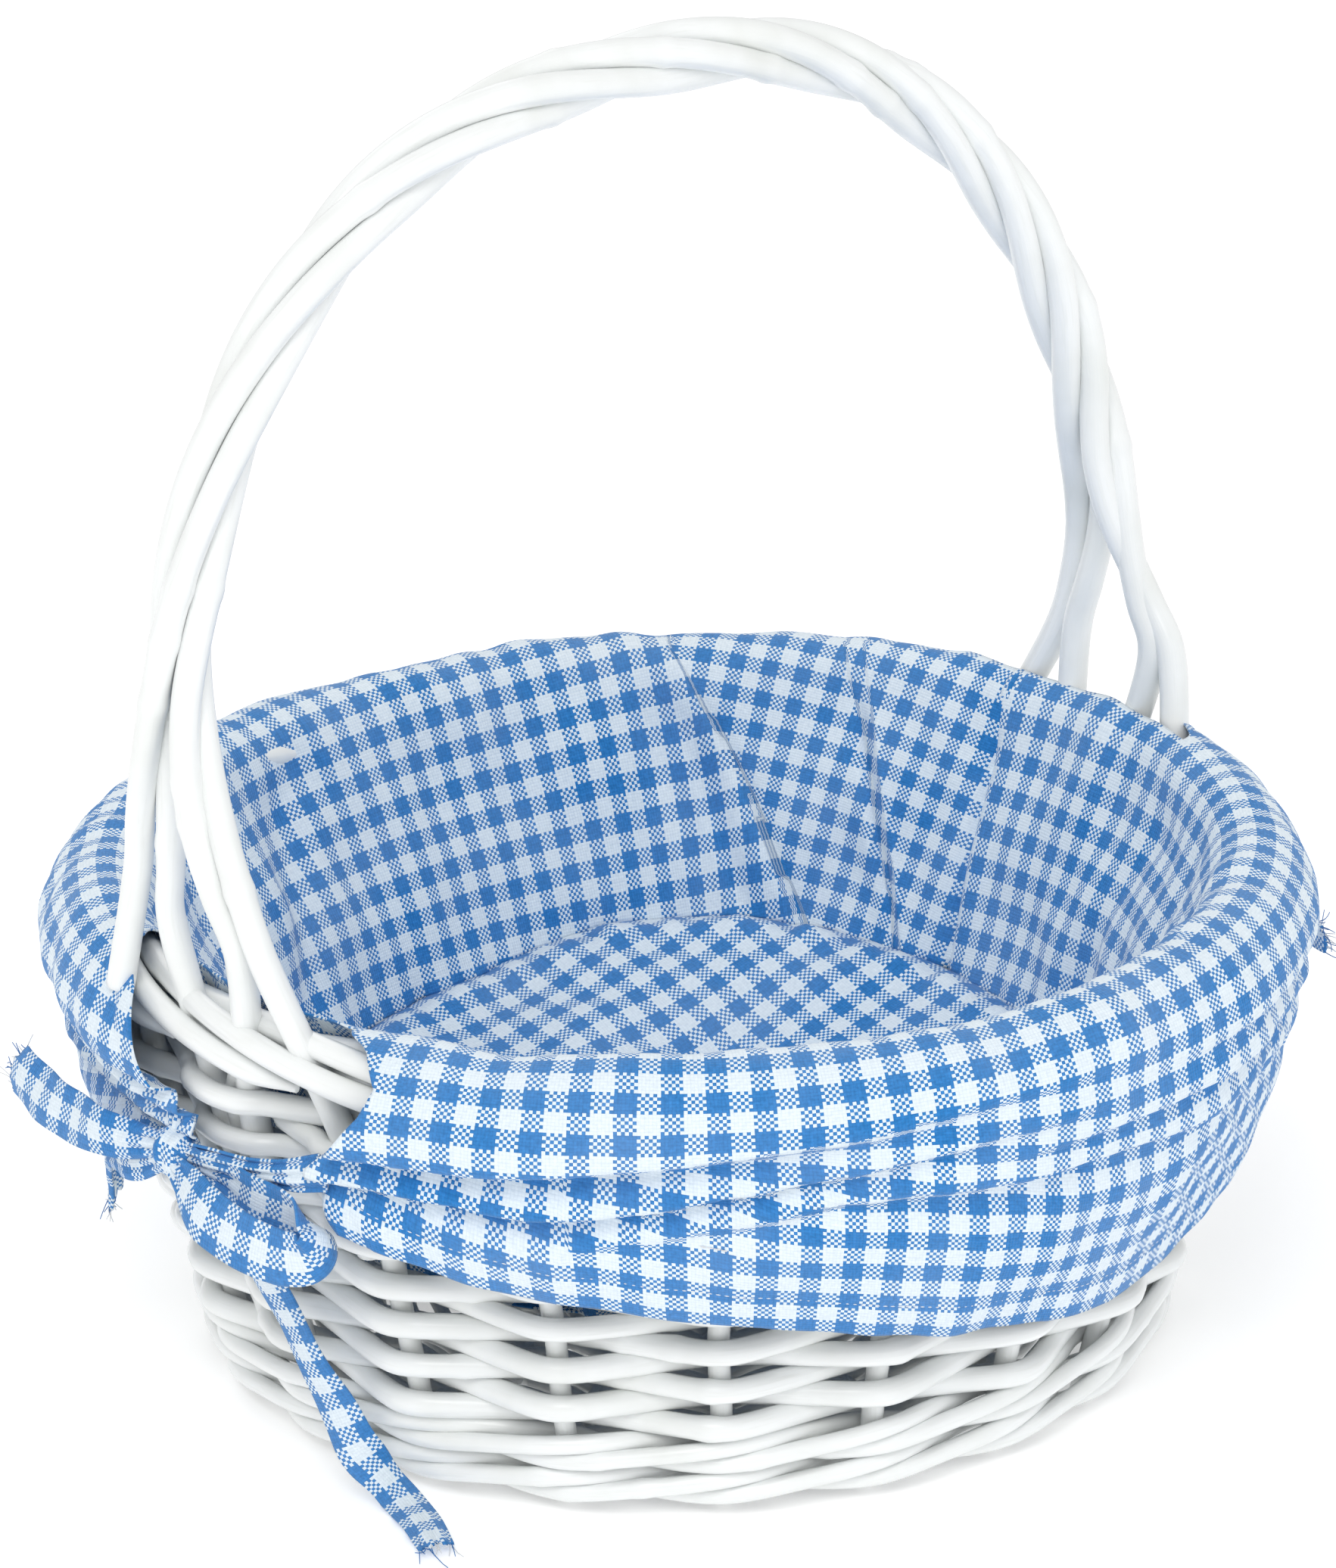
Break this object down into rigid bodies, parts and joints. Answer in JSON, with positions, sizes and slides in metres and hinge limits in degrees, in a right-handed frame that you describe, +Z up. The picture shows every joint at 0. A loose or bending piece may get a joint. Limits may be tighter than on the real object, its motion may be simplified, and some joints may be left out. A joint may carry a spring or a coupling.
{
  "type": "wicker picnic basket",
  "caption": "Round open wicker basket with a twisted hoop handle and a checked cloth liner folded over the rim and tied in bows.",
  "frame": {"origin": "centre of the base on the ground plane", "axes": "+Z up, the hoop handle spans along X, the flaps of the cloth hang at -Y and +Y"},
  "size_m": [0.3358, 0.3242, 0.3443],
  "materials": {
    "painted_willow": "white gloss paint",
    "gingham_cloth": "blue and white cotton gingham",
    "gingham_ribbon": "bias strip of the same gingham"
  },
  "bodies": {
    "root": {"base_sticks_lower": "painted_willow", "base_sticks_upper": "painted_willow", "base_weave": "painted_willow", "handle_rod_1": "painted_willow", "handle_rod_2": "painted_willow", "handle_rod_3": "painted_willow", "handle_rod_4": "painted_willow", "left_tie_back": "gingham_ribbon", "left_tie_front": "gingham_ribbon", "left_tie_knot": "gingham_ribbon", "left_tie_loop": "gingham_ribbon", "liner_back": "gingham_cloth", "liner_floor": "gingham_cloth", "liner_front": "gingham_cloth", "rand_row_01": "painted_willow", "rand_row_02": "painted_willow", "rand_row_03": "painted_willow", "rand_row_04": "painted_willow", "rand_row_05": "painted_willow", "rand_row_06": "painted_willow", "rand_row_07": "painted_willow", "rand_row_08": "painted_willow", "rand_row_09": "painted_willow", "rand_row_10": "painted_willow", "rand_row_11": "painted_willow", "rand_row_12": "painted_willow", "rand_row_13": "painted_willow", "rand_row_14": "painted_willow", "right_tie_back": "gingham_ribbon", "right_tie_front": "gingham_ribbon", "right_tie_knot": "gingham_ribbon", "right_tie_loop": "gingham_ribbon", "stake_01": "painted_willow", "stake_02": "painted_willow", "stake_03": "painted_willow", "stake_04": "painted_willow", "stake_05": "painted_willow", "stake_06": "painted_willow", "stake_07": "painted_willow", "stake_08": "painted_willow", "stake_09": "painted_willow", "stake_10": "painted_willow", "stake_11": "painted_willow", "stake_12": "painted_willow", "stake_13": "painted_willow", "stake_14": "painted_willow", "stake_15": "painted_willow", "stake_16": "painted_willow", "stake_17": "painted_willow", "stake_18": "painted_willow", "stake_19": "painted_willow", "stake_20": "painted_willow", "wale_rod_1": "painted_willow", "wale_rod_2": "painted_willow", "wale_rod_3": "painted_willow", "wale_rod_4": "painted_willow", "wale_rod_5": "painted_willow", "wale_rod_6": "painted_willow"}
  },
  "joints": []
}
